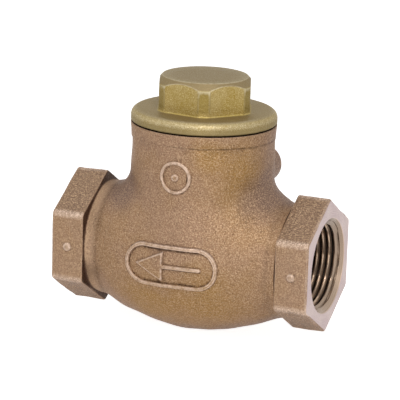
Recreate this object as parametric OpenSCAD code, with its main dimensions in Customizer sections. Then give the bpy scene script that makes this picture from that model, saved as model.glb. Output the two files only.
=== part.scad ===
// Swing check valve in cast bronze for a 3/4 inch taper pipe thread, 80 mm long.
// Everything is drawn round the point where the pipe axis (X) meets the neck axis (Z),
// and place() then moves the inlet mouth to the origin. Flow runs from +X to -X.
// The disc hangs from an arm on a pin across the neck and shuts on the inlet side.

/* [Pipe ends] */
// Length over the two threaded ends
face_to_face = 80; // [76:1:92]
// Width across the flats of each end hexagon
end_flats = 35; // [34:0.5:39]
// Length of each end hexagon
end_len = 10; // [8:0.5:13]
// Corner radius of the end hexagons
end_corner_r = 1.6; // [0.8:0.2:2.6]
// Radius of the rounded edge round the end face of each hexagon
end_edge_r = 0.7; // [0.3:0.1:0.8]
// Radius of the rounded edge on the inner side of each hexagon
back_edge_r = 0.45; // [0.2:0.05:0.8]
// Bore of the pipe thread at its major diameter
thread_d = 26.44; // [25.6:0.02:26.8]
// Depth of the pipe thread
thread_depth = 14; // [12:0.5:16]

/* [Casting] */
// Radius of the belly at its fullest
belly_r = 23.4; // [22.6:0.1:25]
// Radius of the long arc that the belly follows along the pipe axis
belly_arc_r = 58.5; // [52:0.5:75]
// Radius of the barrels beside the hexagons
barrel_r = 16.8; // [16:0.1:17.2]
// Diameter of the neck
neck_d = 41.8; // [41:0.2:45]
// Height of the neck's top face above the pipe axis
neck_top_z = 38.2; // [36:0.2:42]
// Width of the blend between the neck and the belly
shoulder_blend = 4.6; // [3:0.2:8]
// Width of the blend between the belly and the barrels
crease_blend = 1; // [0.6:0.2:4]
// Thickness of the casting round the belly
belly_wall = 3.2; // [2.6:0.1:3.8]
// Diameter of the turned lip at the top of the neck
lip_d = 42.6; // [41.8:0.2:45.6]
// Height of the turned lip
lip_h = 3.2; // [2:0.2:5]

/* [Seat] */
// Bore of the seat
port_d = 20; // [18:0.5:20.5]
// Diameter of the outlet passage behind the thread
outlet_d = 23.6; // [21:0.2:24]
// Outside diameter of the seat ring
seat_d = 24.6; // [23.6:0.2:25.6]
// Distance of the seat face from the neck axis
seat_x = 10.8; // [10.4:0.1:11.2]
// Height of the seat ring above the wall that carries it
seat_h = 0.8; // [0.5:0.1:1.2]
// Height of the pocket floor that the hinge hub hangs over
pocket_z = 15.5; // [15:0.1:16.5]

/* [Cap] */
// Diameter of the thread between cap and neck
cap_thread_d = 35; // [34:0.2:36]
// Depth of the cap's threaded plug below its flange
cap_plug_h = 8.6; // [6:0.2:9]
// Diameter of the cap's flange
flange_d = 42.6; // [41.6:0.2:46]
// Thickness of the cap's flange
flange_h = 3.7; // [3:0.1:5]
// Radius of the flange's upper edge
flange_edge_r = 2.2; // [0.6:0.1:2.6]
// Width across the flats of the cap's hexagon
head_flats = 26.4; // [24:0.2:28]
// Height of the cap's hexagon
head_h = 9.7; // [8:0.1:12]
// Diameter that the hexagon's corners are turned down to
head_corner_d = 28.8; // [28:0.2:30.4]
// Diameter of the flat on top of the hexagon
head_top_d = 25.0; // [22:0.2:26]
// Height of the bevel round the top of the hexagon
head_bevel_h = 2; // [1:0.1:3]
// Turn of the hexagon, from a corner that faces -Y
cap_turn = 21; // [0:1:59]
// Thickness of the metal round the hollow under the cap
cap_wall = 3.5; // [2.5:0.1:4.5]
// Thickness of the gasket under the cap's flange
gasket_t = 0.4; // [0.3:0.1:0.8]

/* [Hinge] */
// Distance of the hinge pin from the neck axis
pin_x = 10; // [9.6:0.1:10.4]
// Height of the hinge pin above the pipe axis
pin_z = 22.1; // [21.8:0.1:22.6]
// Diameter of the hinge pin
pin_d = 4; // [3:0.1:4.4]
// Diameter of the round boss on the outside of the neck
boss_d = 11.4; // [10.4:0.2:12.4]
// How far the boss stands out past the neck's radius
boss_proud = 3.4; // [2.6:0.1:4.4]
// Diameter of the lugs that carry the pin inside the neck
lug_d = 8.4; // [7.4:0.2:8.8]
// Space between the two lugs
lug_gap = 16; // [12:0.5:18]
// How deep the pin enters the wall opposite the boss
pin_sink = 1.6; // [1:0.1:2.2]
// Diameter of the plug that closes the pin's hole
plug_d = 8; // [6:0.2:8.4]
// Length of the plug that closes the pin's hole
plug_len = 6; // [4:0.2:6.4]

/* [Arm] */
// Diameter of the arm's hub
hub_d = 8; // [7.2:0.1:8.6]
// Thickness of the arm where it leaves its hub
arm_web = 6; // [5.4:0.1:6.6]
// Diameter of the arm's eye
eye_d = 11; // [10:0.2:13]
// Thickness of the arm's eye
eye_t = 2.5; // [2:0.1:3]

/* [Disc] */
// Diameter of the disc
disc_d = 24; // [22.6:0.2:24.4]
// Thickness of the disc
disc_t = 2.6; // [2.2:0.1:3]
// Diameter of the raised boss on the disc's back
disc_boss_d = 9; // [7:0.2:11]
// Height of the raised boss on the disc's back
disc_boss_h = 0.5; // [0.3:0.1:0.8]
// Diameter of the disc's threaded stud
stud_d = 5; // [4:0.1:5.4]
// Length of the stud past its nut
stud_past = 1.8; // [1.6:0.1:2.2]
// Diameter of the washer under the nut
washer_d = 9.6; // [8.6:0.2:10.6]
// Thickness of the washer
washer_t = 0.8; // [0.5:0.1:1.2]
// Width across the flats of the disc's nut
nut_flats = 8; // [7.4:0.2:9]
// Thickness of the disc's nut
nut_t = 3; // [2.4:0.1:3.4]
// Diameter of the split pin's wire
split_wire_d = 0.5; // [0.4:0.05:0.6]

/* [Clearances] */
// Gap between a pin or stud and what turns on it, on the radius
running_gap = 0.05; // [0.02:0.01:0.1]
// Gap between threaded or pushed-in pieces, on the radius
fit_gap = 0.03; // [0.02:0.01:0.06]
// Gap between the disc and the seat when shut
seat_gap = 0.05; // [0.02:0.01:0.1]
// Gap at each side of the arm's hub between the lugs
hub_gap = 0.3; // [0.2:0.05:0.5]

/* [Cast marks] */
// Length of the frame round the flow arrow
frame_len = 28.6; // [22:0.2:30]
// Height of the frame round the flow arrow
frame_h = 12.6; // [10:0.2:15]
// Width of the raised lines
line_w = 1.1; // [0.8:0.1:1.6]
// Length of the flow arrow
arrow_len = 19; // [14:0.5:20]
// Width of the arrow's head
arrow_head_w = 7; // [5:0.5:8]
// Diameter of the ring on the neck, to the middle of its line
ring_d = 8.6; // [7:0.2:10]
// Height of the ring's middle above the pipe axis
ring_z = 25.8; // [23:0.2:28]
// How far the marks stand out from the casting
mark_h = 0.6; // [0.4:0.1:1]

/* [Hidden] */
$fn = 96;

// Colours
bronze = [0.66, 0.53, 0.42];
brass = [0.66, 0.58, 0.33];
steel = [0.72, 0.72, 0.70];
fibre = [0.16, 0.12, 0.10];

// Overlap of cuts with the faces that they open
over = 1;

// Places along the pipe
half_len = face_to_face / 2;
hex_x = half_len - end_len;
thread_x = half_len - thread_depth;
outlet_land = 4;
chamber_x = thread_x - outlet_land;
throat_x = seat_x + seat_h + 6;

// Places up the neck
neck_r = neck_d / 2;
neck_bore_r = cap_thread_d / 2;
lip_z = neck_top_z - lip_h;
flange_z = neck_top_z + gasket_t;
head_z = flange_z + flange_h;
plug_bottom_z = flange_z - cap_plug_h;

// Places along the disc's stud, from the seat towards the outlet
disc_x = seat_x - seat_gap;
disc_back_x = disc_x - disc_t;
disc_boss_x = disc_back_x - disc_boss_h;
eye_x = disc_boss_x - running_gap;
eye_back_x = eye_x - eye_t;
washer_x = eye_back_x - running_gap;
nut_x = washer_x - washer_t;
nut_back_x = nut_x - nut_t;
stud_end_x = nut_back_x - stud_past;
split_x = nut_back_x - stud_past / 2;

// Places along the hinge pin
boss_y = neck_r + boss_proud;
plug_y = boss_y - plug_len;
pin_wall_y = sqrt(neck_bore_r * neck_bore_r - pin_x * pin_x);
pin_front_y = -pin_wall_y - pin_sink;
// How far the lugs grow into the wall of the neck
lug_root = 1;
// Gap at each end of the hinge pin
end_gap = 0.1;
// Slot across the plug
slot_w = 1.6;
slot_depth = 1.4;
// How much wider the arm is at the hub than at the eye, at each side
arm_flare = 1;

// How far the blend with the neck lifts the belly's front over its own arc
belly_lift = pow(max(shoulder_blend - (belly_r - neck_r), 0) / shoulder_blend, 2) * shoulder_blend / 4;

// The mesh of the casting's skin
skin_cols = 84;
skin_rings = 44;
skin_eye = [0, 0, 8];
skin_end_x = hex_x + end_len / 2;
skin_top_z = lip_z + lip_h / 2;
skin_steps = 22;

// Shared placing
module place() translate([-half_len, 0, 0]) children();
// Turns a shape that stands on +Z so that it points along -X
module toward_outlet(x) translate([x, 0, 0]) rotate([0, -90, 0]) children();
// Turns a shape that stands on +Z so that it points along +X
module toward_inlet(x) translate([x, 0, 0]) rotate([0, 90, 0]) children();
// Turns a shape that stands on +Z so that it points along +Y at the hinge axis
module along_hinge(y) translate([pin_x, y, pin_z]) rotate([-90, 0, 0]) children();

// Distance-like measures of the three forms that the casting is blended from.
// Each is negative inside its form and zero on it.
function belly_gap(p) = norm([p.x, norm([p.y, p.z]) + belly_arc_r - belly_r]) - belly_arc_r;
function barrel_gap(p) = norm([p.y, p.z]) - barrel_r;
function neck_gap(p) = norm(p.z > 0 ? [p.x, p.y] : p) - neck_r;
// Union of two such measures, rounded over a band of width k
function blend(a, b, k) = min(a, b) - pow(max(k - abs(a - b), 0) / k, 2) * k / 4;
function skin_gap(p) = max(
    blend(blend(belly_gap(p), barrel_gap(p), crease_blend), neck_gap(p), shoulder_blend),
    abs(p.x) - skin_end_x, p.z - skin_top_z);
// Distance from the eye to the skin along a direction, by halving
function skin_reach(dir, near, far, steps) =
    let (mid = (near + far) / 2)
    steps == 0 ? mid
    : skin_gap(skin_eye + mid * dir) < 0 ? skin_reach(dir, mid, far, steps - 1)
    : skin_reach(dir, near, mid, steps - 1);
function skin_point(turn, rise) =
    let (dir = [cos(turn) * cos(rise), sin(turn) * cos(rise), sin(rise)])
    skin_eye + skin_reach(dir, 0, face_to_face, skin_steps) * dir;

// The casting's skin: rings of points seen from the eye, from the foot up to the lip
module casting_skin() {
    rise_top = atan2(skin_top_z - skin_eye.z, neck_r);
    rise_step = (rise_top + 90) / skin_rings;
    turn_step = 360 / skin_cols;
    points = [
        skin_point(0, -90),
        for (i = [1 : skin_rings - 1], j = [0 : skin_cols - 1])
            skin_point(j * turn_step, i * rise_step - 90),
        for (j = [0 : skin_cols - 1])
            [neck_r * cos(j * turn_step), neck_r * sin(j * turn_step), skin_top_z]
    ];
    function at(i, j) = 1 + (i - 1) * skin_cols + j % skin_cols;
    cells = [for (i = [1 : skin_rings - 1], j = [0 : skin_cols - 1]) [i, j]];
    faces = [
        for (j = [0 : skin_cols - 1]) [0, at(1, j), at(1, j + 1)],
        for (c = cells) [at(c.x, c.y), at(c.x + 1, c.y), at(c.x + 1, c.y + 1)],
        for (c = cells) [at(c.x, c.y), at(c.x + 1, c.y + 1), at(c.x, c.y + 1)],
        [for (j = [skin_cols - 1 : -1 : 0]) at(skin_rings, j)]
    ];
    polyhedron(points, faces);
}

// A post with round edges, which makes one corner of an end hexagon
module end_post() {
    rotate_extrude($fn = 24) {
        square([end_corner_r - end_edge_r, end_len]);
        translate([end_corner_r - back_edge_r, back_edge_r]) circle(back_edge_r, $fn = 8);
        translate([end_corner_r - end_edge_r, end_len - end_edge_r]) circle(end_edge_r, $fn = 16);
    }
}

// One end hexagon, with a flat facing -Y and rounded corners and edges
module end_hexagon() {
    corner = (end_flats / 2 - end_corner_r) / cos(30);
    hull() for (a = [0 : 60 : 300]) rotate(a) translate([corner, 0]) end_post();
}

// The space inside the belly, one wall inside its skin, from the outlet land to the seat wall
module belly_space() {
    toward_inlet(0) rotate_extrude() intersection() {
        translate([belly_r - belly_arc_r, 0]) circle(belly_arc_r - belly_wall, $fn = 200);
        translate([0, -chamber_x]) square([belly_r, chamber_x + seat_x + seat_h]);
    }
}

// The space that the disc swings in: belly, neck, and the pocket over the inlet passage
module swing_space() {
    belly_space();
    intersection() {
        cylinder(h = neck_top_z, r = neck_bore_r);
        translate([-belly_r - over, -belly_r, 0])
            cube([belly_r + over + seat_x + seat_h, 2 * belly_r, neck_top_z]);
    }
    translate([0, 0, pocket_z]) cylinder(h = neck_top_z + over - pocket_z, r = neck_bore_r);
}

// A threaded mouth, as a plain bore at the thread's major diameter
module mouth() {
    translate([0, 0, -over]) cylinder(h = thread_depth + over, d = thread_d);
}

// The inlet passage: from the thread it narrows to the bore of the seat
module inlet_passage() {
    toward_inlet(seat_x - over) cylinder(h = throat_x - seat_x + 2 * over, d = port_d);
    toward_inlet(throat_x) cylinder(h = thread_x - throat_x, d1 = port_d, d2 = outlet_d);
}

// The two lugs inside the neck that carry the hinge pin
module pin_lugs() {
    intersection() {
        cylinder(h = neck_top_z, r = neck_bore_r + lug_root);
        for (y = [-neck_r, lug_gap / 2]) along_hinge(y) cylinder(h = neck_r - lug_gap / 2, d = lug_d);
    }
}

// Lines of the flow arrow and its frame, as seen from the front with the arrow towards -X
module arrow_drawing() {
    inset = frame_h / 2 - line_w / 2;
    difference() {
        hull() for (s = [-1, 1]) translate([s * (frame_len - frame_h) / 2, 0]) circle(frame_h / 2);
        hull() for (s = [-1, 1]) translate([s * (frame_len - frame_h) / 2, 0]) circle(inset - line_w / 2);
    }
    translate([-arrow_len / 2 + arrow_head_w / 2, -line_w / 2]) square([arrow_len - arrow_head_w / 2, line_w]);
    polygon([[-arrow_len / 2, 0], [-arrow_len / 2 + arrow_head_w, -arrow_head_w / 2],
        [-arrow_len / 2 + arrow_head_w, arrow_head_w / 2]]);
}

// The flow arrow, raised on the front of the belly
module flow_mark() {
    intersection() {
        rotate([90, 0, 0]) translate([0, 0, neck_r - belly_wall / 2]) linear_extrude(belly_r) arrow_drawing();
        toward_inlet(0) rotate_extrude() intersection() {
            translate([belly_r - belly_arc_r, 0]) circle(belly_arc_r + belly_lift + mark_h, $fn = 200);
            translate([0, -frame_len]) square([2 * belly_r, 2 * frame_len]);
        }
    }
}

// The ring with a dot, raised on the front of the neck
module ring_mark() {
    intersection() {
        translate([0, 0, ring_z]) rotate([90, 0, 0]) linear_extrude(2 * neck_r) {
            difference() {
                circle(d = ring_d + line_w * 0.8);
                circle(d = ring_d - line_w * 0.8);
            }
            circle(d = 2 * line_w);
        }
        difference() {
            cylinder(h = neck_top_z, r = neck_r + mark_h);
            translate([0, 0, -over]) cylinder(h = neck_top_z + 2 * over, r = neck_r - 1);
        }
    }
}

module body() color(bronze) place() {
    difference() {
        union() {
            difference() {
                union() {
                    casting_skin();
                    toward_inlet(hex_x) end_hexagon();
                    toward_outlet(-hex_x) end_hexagon();
                    translate([0, 0, lip_z]) cylinder(h = lip_h, d = lip_d);
                    along_hinge(neck_bore_r * 0.6) cylinder(h = boss_y - neck_bore_r * 0.6, d = boss_d);
                    flow_mark();
                    ring_mark();
                }
                swing_space();
            }
            toward_inlet(seat_x) cylinder(h = seat_h + over, d = seat_d);
            pin_lugs();
        }
        inlet_passage();
        toward_outlet(over - chamber_x) cylinder(h = outlet_land + 2 * over, d = outlet_d);
        toward_outlet(half_len) mouth();
        toward_inlet(-half_len) mouth();
        along_hinge(pin_front_y) cylinder(h = plug_y - pin_front_y + over, r = pin_d / 2 + fit_gap);
        along_hinge(plug_y) cylinder(h = plug_len + over, r = plug_d / 2 + fit_gap);
    }
}

// The cap's hexagon, its corners turned down and its top bevelled
module cap_head() {
    intersection() {
        rotate(cap_turn - 90) linear_extrude(head_h) circle(d = head_flats / cos(30), $fn = 6);
        rotate_extrude() polygon([
            [0, 0], [head_corner_d / 2, 0], [head_corner_d / 2, head_h - head_bevel_h],
            [head_top_d / 2, head_h], [0, head_h]]);
    }
}

// The cap's flange, a disc with a round upper edge
module cap_flange() {
    rotate_extrude() {
        square([flange_d / 2, flange_h - flange_edge_r]);
        square([flange_d / 2 - flange_edge_r, flange_h]);
        intersection() {
            translate([flange_d / 2 - flange_edge_r, flange_h - flange_edge_r]) circle(flange_edge_r);
            square([flange_d, flange_h]);
        }
    }
}

// The hollow under the cap: a wide mouth that narrows into the hexagon
module cap_hollow() {
    mouth_r = neck_bore_r - fit_gap - cap_wall;
    head_r = head_flats / 2 - cap_wall;
    rotate_extrude() polygon([
        [0, plug_bottom_z - over], [mouth_r, plug_bottom_z - over], [mouth_r, flange_z],
        [head_r, head_z], [head_r, head_z + head_h - cap_wall], [0, head_z + head_h - cap_wall]]);
}

module cap() color(brass) place() {
    difference() {
        union() {
            translate([0, 0, head_z]) cap_head();
            translate([0, 0, flange_z]) cap_flange();
            translate([0, 0, plug_bottom_z]) cylinder(h = cap_plug_h + over, r = neck_bore_r - fit_gap);
        }
        cap_hollow();
    }
}

module cap_gasket() color(fibre) place() {
    translate([0, 0, neck_top_z]) difference() {
        cylinder(h = gasket_t, r = neck_r);
        translate([0, 0, -over]) cylinder(h = gasket_t + 2 * over, r = neck_bore_r + fit_gap);
    }
}

module hinge_pin() color(steel) place() {
    along_hinge(pin_front_y + end_gap) cylinder(h = plug_y - pin_front_y - 2 * end_gap, d = pin_d);
}

// The plug behind the pin, with a slot across its outer face
module pin_plug() color(brass) place() {
    along_hinge(plug_y) difference() {
        cylinder(h = plug_len, d = plug_d);
        translate([-plug_d, -slot_w / 2, plug_len - slot_depth]) cube([2 * plug_d, slot_w, slot_depth + over]);
    }
}

// Outline of the arm seen along the pin: hub, bend and the flat that carries the eye
module arm_side() {
    hull() {
        translate([pin_x, pin_z]) circle(d = arm_web, $fn = 32);
        translate([eye_back_x + eye_t / 2, pin_z - hub_d]) circle(d = eye_t, $fn = 32);
    }
    translate([eye_back_x, -eye_d / 2 - over]) square([eye_t, pin_z - hub_d + eye_d / 2 + over]);
}

// Outline of the arm seen along the pipe: the eye widens up to the hub
module arm_front() {
    hull() {
        circle(d = eye_d, $fn = 32);
        translate([-eye_d / 2 - arm_flare, pin_z - hub_d]) square([eye_d + 2 * arm_flare, 2 * hub_d]);
    }
}

module hinge_arm() color(bronze) place() {
    hub_len = lug_gap - 2 * hub_gap;
    difference() {
        union() {
            along_hinge(-hub_len / 2) cylinder(h = hub_len, d = hub_d);
            intersection() {
                translate([0, hub_len / 2, 0]) rotate([90, 0, 0]) linear_extrude(hub_len) arm_side();
                rotate([90, 0, 90]) linear_extrude(pin_x + hub_d) arm_front();
            }
        }
        along_hinge(-hub_len) cylinder(h = 2 * hub_len, r = pin_d / 2 + running_gap);
        toward_outlet(eye_x + over) cylinder(h = eye_t + 2 * over, r = stud_d / 2 + running_gap);
    }
}

// The disc with the stud that it turns on, cross-drilled for the split pin
module disc() color(bronze) place() {
    difference() {
        union() {
            toward_outlet(disc_x) cylinder(h = disc_t, d = disc_d);
            toward_outlet(disc_back_x + over) cylinder(h = disc_boss_h + over, d = disc_boss_d);
            toward_outlet(disc_boss_x + over) cylinder(h = disc_boss_x - stud_end_x + over, d = stud_d);
        }
        translate([split_x, -stud_d, 0]) rotate([-90, 0, 0])
            cylinder(h = 2 * stud_d, r = split_wire_d + fit_gap);
    }
}

module disc_washer() color(steel) place() {
    toward_outlet(washer_x) difference() {
        cylinder(h = washer_t, d = washer_d);
        translate([0, 0, -over]) cylinder(h = washer_t + 2 * over, r = stud_d / 2 + fit_gap);
    }
}

module disc_nut() color(bronze) place() {
    toward_outlet(nut_x) difference() {
        cylinder(h = nut_t, d = nut_flats / cos(30), $fn = 6);
        translate([0, 0, -over]) cylinder(h = nut_t + 2 * over, r = stud_d / 2 + fit_gap);
    }
}

// The split pin: a folded wire through the stud, with a ring at one end and two spread legs
module split_pin() color(steel) place() {
    ring_r = 1.5 * split_wire_d;
    leg = 3 * split_wire_d;
    shank = stud_d + 2 * split_wire_d;
    translate([split_x, 0, 0]) {
        translate([0, -shank / 2, 0]) rotate([-90, 0, 0]) cylinder(h = shank, r = split_wire_d);
        translate([0, -shank / 2 - ring_r, 0]) rotate([0, 90, 0])
            rotate_extrude() translate([ring_r, 0]) circle(d = split_wire_d);
        for (side = [-1, 1]) translate([0, shank / 2 - split_wire_d / 2, side * split_wire_d / 2])
            rotate([side * 45 - 90, 0, 0]) cylinder(h = leg, d = split_wire_d);
    }
}

body();
cap();
cap_gasket();
hinge_pin();
pin_plug();
hinge_arm();
disc();
disc_washer();
disc_nut();
split_pin();
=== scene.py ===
# %% [markdown]
# A bronze swing check valve
#
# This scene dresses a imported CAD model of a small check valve. The body is a sand casting in
# bronze with a hexagon at each end, a neck, and a brass cap that closes the neck. Inside, a disc
# hangs from an arm and lets the flow pass one way only. The CAD model comes first, because every
# piece made here has to sit on it and move with it.

# %% Load the frame and note its size
import math

import bpy
import numpy as np
from mathutils import Matrix, Vector


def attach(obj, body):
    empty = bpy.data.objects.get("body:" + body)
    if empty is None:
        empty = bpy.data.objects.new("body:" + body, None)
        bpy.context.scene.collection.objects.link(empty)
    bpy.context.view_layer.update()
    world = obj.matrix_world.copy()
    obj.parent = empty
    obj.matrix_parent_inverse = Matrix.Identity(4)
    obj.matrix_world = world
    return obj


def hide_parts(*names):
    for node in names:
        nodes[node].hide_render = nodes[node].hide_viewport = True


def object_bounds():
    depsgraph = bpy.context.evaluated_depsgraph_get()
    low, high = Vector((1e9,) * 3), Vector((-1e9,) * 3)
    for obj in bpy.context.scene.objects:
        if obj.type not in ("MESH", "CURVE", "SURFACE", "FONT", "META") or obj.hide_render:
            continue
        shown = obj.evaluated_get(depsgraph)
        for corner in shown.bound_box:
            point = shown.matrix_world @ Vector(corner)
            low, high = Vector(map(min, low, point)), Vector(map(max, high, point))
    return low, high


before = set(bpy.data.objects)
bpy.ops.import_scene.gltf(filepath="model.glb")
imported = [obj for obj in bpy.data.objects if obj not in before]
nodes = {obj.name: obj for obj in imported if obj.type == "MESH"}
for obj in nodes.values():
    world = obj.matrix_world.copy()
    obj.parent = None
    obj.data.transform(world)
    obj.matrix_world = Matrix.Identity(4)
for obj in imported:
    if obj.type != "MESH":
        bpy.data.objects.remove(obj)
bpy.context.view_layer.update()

print("nodes:", ", ".join(sorted(nodes)))

# %% [markdown]
# The camera
#
# The valve is seen from its front right, a little from above, with the inlet mouth turned to the
# viewer. A camera can be placed by eye, but here its numbers were found by fitting the outline of
# the hexagons and the neck, so the lines of the casting fall where they should. The lens looks at
# the point where the pipe axis and the neck axis cross, and a small shift lifts the frame.

# %% Place the camera
MM = 0.001
CROSSING = np.array([-40.0, 0.0, 0.0])
CAMERA_TURN = math.radians(21.88)
CAMERA_RISE = math.radians(15.31)
CAMERA_ROLL = math.radians(1.85)
CAMERA_DISTANCE = 800.0
SENSOR_WIDTH = 36.0
LENS = 244.7
SHIFT_UP = 0.1205


def put(name, data):
    """A new object in the scene for a mesh, a lamp or a camera."""
    made = bpy.data.objects.new(name, data)
    bpy.context.scene.collection.objects.link(made)
    return made


right = Vector((math.cos(CAMERA_TURN), math.sin(CAMERA_TURN), 0))
back = Vector((math.sin(CAMERA_TURN) * math.cos(CAMERA_RISE),
               -math.cos(CAMERA_TURN) * math.cos(CAMERA_RISE), math.sin(CAMERA_RISE)))
up = back.cross(right)
side_axis = math.cos(CAMERA_ROLL) * right + math.sin(CAMERA_ROLL) * up
up_axis = math.cos(CAMERA_ROLL) * up - math.sin(CAMERA_ROLL) * right
place = (Vector(CROSSING) + CAMERA_DISTANCE * back) * MM

camera_data = bpy.data.cameras.new("camera")
camera_data.sensor_width = SENSOR_WIDTH
camera_data.lens = LENS
camera_data.shift_y = SHIFT_UP
camera_data.clip_start = 0.01
camera = put("camera", camera_data)
axes = Matrix((side_axis, up_axis, back)).transposed().to_4x4()
camera.matrix_world = Matrix.Translation(place) @ axes
bpy.context.scene.camera = camera
print("camera at", [round(v, 4) for v in place])

# %% [markdown]
# The sizes of the valve
#
# A caster works from a drawing, and so does this scene. Lengths are in millimetres from the point
# where the pipe axis (X) crosses the neck axis (Z), which is the easiest place to draw from. One
# helper turns them into metres in the frame of the CAD model.

# %% Sizes of the casting
HALF_LENGTH = 40.0
END_LENGTH = 10.0
END_FLATS = 35.0
END_CORNER_R = 1.6
BELLY_R = 23.4
BELLY_ARC_R = 58.5
BARREL_R = 16.8
NECK_R = 20.9
NECK_TOP = 38.2
LIP_R = 21.3
LIP_FOOT = 34.0
SHOULDER_BLEND = 4.6
CREASE_BLEND = 1.0
HEX_X = HALF_LENGTH - END_LENGTH


def to_frame(points):
    """Points in millimetres from the crossing of the axes, as metres in the frame."""
    return (np.asarray(points, dtype=float) + CROSSING) * MM


print("the crossing is at", to_frame([0, 0, 0]))

# %% [markdown]
# Rings of points
#
# Nearly every form on the valve is round or six-sided, so it can be drawn as rings of points round
# an axis, one ring after another. Neighbours in a ring and the next ring share a four-sided face,
# and a fan of triangles closes each end. If the volume comes out negative the faces point inwards,
# and then all of them are turned over. Working on whole arrays keeps this quick.

# %% Helpers that make closed surfaces
def turns(count, pinch=0.0):
    """Angles round an axis. A pinch above 0 draws them together near the corners of a
    hexagon: the angle is s less a share of the sine of six times s."""
    s = np.arange(count) * 2 * np.pi / count
    return s - pinch / 6 * np.sin(6 * s)


def surface(name, rings):
    """A closed surface through rings of points, an array of rows, columns and x, y, z."""
    rows, cols, _ = rings.shape
    points = np.concatenate([rings.reshape(-1, 3), rings[:1].mean(axis=1), rings[-1:].mean(axis=1)])
    row, col = np.meshgrid(np.arange(rows - 1), np.arange(cols), indexing="ij")
    here, after = row * cols + col, row * cols + (col + 1) % cols
    quads = np.stack([here, after, after + cols, here + cols], axis=-1).reshape(-1, 4)
    first = np.arange(cols)
    following = (first + 1) % cols
    last = (rows - 1) * cols
    start_fan = np.stack([following, first, np.full(cols, rows * cols)], axis=-1)
    end_fan = np.stack([first + last, following + last, np.full(cols, rows * cols + 1)], axis=-1)
    return closed_piece(name, points, quads.tolist() + start_fan.tolist() + end_fan.tolist())


def closed_piece(name, points, faces):
    """A piece with a closed mesh through points in millimetres, its faces turned outwards."""
    mesh = bpy.data.meshes.new(name)
    mesh.from_pydata(to_frame(points).tolist(), [], faces)
    if volume(mesh) < 0:
        mesh.flip_normals()
    return put(name, mesh)


def rows_of(items, field, width=3, kind=float):
    """One field of many mesh items, such as the place of each vertex, as rows of an array."""
    values = np.empty(len(items) * width, dtype=kind)
    items.foreach_get(field, values)
    return values.reshape(-1, width)


def volume(mesh):
    """The volume that a closed mesh holds: the sum over its triangles of the box product of
    their corners, over six."""
    mesh.calc_loop_triangles()
    corners = rows_of(mesh.loop_triangles, "vertices", 3, np.int32)
    a, b, c = rows_of(mesh.vertices, "co")[corners].transpose(1, 0, 2)
    return float(np.einsum("ij,ij->i", a, np.cross(b, c)).sum() / 6)


def about_pipe(x, radius, turn):
    """Points at a distance along the pipe, a radius and a turn from straight up."""
    x, radius, turn = np.broadcast_arrays(x, radius, turn)
    return np.stack([x, radius * np.sin(turn), radius * np.cos(turn)], axis=-1)


def about_neck(z, radius, turn):
    """Points at a height on the neck axis, a radius and a turn from +X."""
    z, radius, turn = np.broadcast_arrays(z, radius, turn)
    return np.stack([radius * np.cos(turn), radius * np.sin(turn), z], axis=-1)


def column(values):
    """A list of row values as a column, to spread over the angles."""
    return np.asarray(values, dtype=float)[:, None]


def spin(about, rows, turn, **axis):
    """Rings round an axis. A row is a distance along it and a radius, one or one per angle."""
    along = column([row[0] for row in rows])
    return about(along, np.stack([row[1] + 0 * turn for row in rows]), turn, **axis)


def quarter(radius, steps=5):
    """Steps round an edge or a fillet: how far each is from the end and from the side."""
    bend = np.radians(np.linspace(0, 90, steps))
    return list(zip(radius * (1 - np.sin(bend)), radius * (1 - np.cos(bend))))


def combine(target, tool, operation):
    """Joins or cuts one closed mesh with another by the Boolean modifier, then drops the tool."""
    boolean = target.modifiers.new("combine", "BOOLEAN")
    boolean.operation = operation
    boolean.solver = "MANIFOLD"
    boolean.object = tool
    bpy.context.view_layer.update()
    seen = target.evaluated_get(bpy.context.evaluated_depsgraph_get())
    mesh = bpy.data.meshes.new_from_object(seen)
    target.modifiers.clear()
    old = target.data
    target.data = mesh
    bpy.data.meshes.remove(old)
    bpy.data.objects.remove(tool)
    print(operation.lower(), "leaves", len(mesh.polygons), "faces")


# %% [markdown]
# The form of the casting
#
# The pattern maker blends a long belly, two short barrels and an upright neck into one another. A
# modeller can do this with subdivision or sculpting, but a formula gives the same soft shoulder on
# every side. Each form has a measure that is negative inside and zero on its surface. A blend of
# two measures rounds the corner between them, and the zero of the blend is the casting's skin. A
# few slow waves, about a tenth of a millimetre high together, keep it from looking machined.

# %% Measures of the casting's skin
rng = np.random.default_rng(11)
WAVE_COUNT = 9
WAVE_HEIGHT = 0.035
wave_turns = rng.normal(size=(WAVE_COUNT, 3))
wave_turns /= np.linalg.norm(wave_turns, axis=1)[:, None]
wave_turns *= 2 * np.pi / rng.uniform(6.0, 17.0, size=(WAVE_COUNT, 1))
wave_starts = rng.uniform(0, 2 * np.pi, size=WAVE_COUNT)


def waves(p):
    """Uneven surface of a sand mould: a sum of slow sines over the place."""
    return WAVE_HEIGHT * np.sin(p @ wave_turns.T + wave_starts).sum(axis=-1)


def blend(a, b, width):
    """The lesser of two measures, rounded where they are within a width of each other."""
    near = np.maximum(width - np.abs(a - b), 0) / width
    return np.minimum(a, b) - near ** 2 * width / 4


def skin_gap(p):
    """Measure of the whole casting without its hexagons: the belly is an arc spun round the
    pipe, the barrel a cylinder, and the neck an upright cylinder with a round foot."""
    x, y, z = p[..., 0], p[..., 1], p[..., 2]
    off_pipe = np.hypot(y, z)
    belly = np.hypot(x, off_pipe + BELLY_ARC_R - BELLY_R) - BELLY_ARC_R
    barrel = off_pipe - BARREL_R
    neck = np.where(z > 0, np.hypot(x, y), np.linalg.norm(p, axis=-1)) - NECK_R
    pipe = blend(belly, barrel, CREASE_BLEND)
    return blend(pipe, neck, SHOULDER_BLEND) - waves(p)


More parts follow.
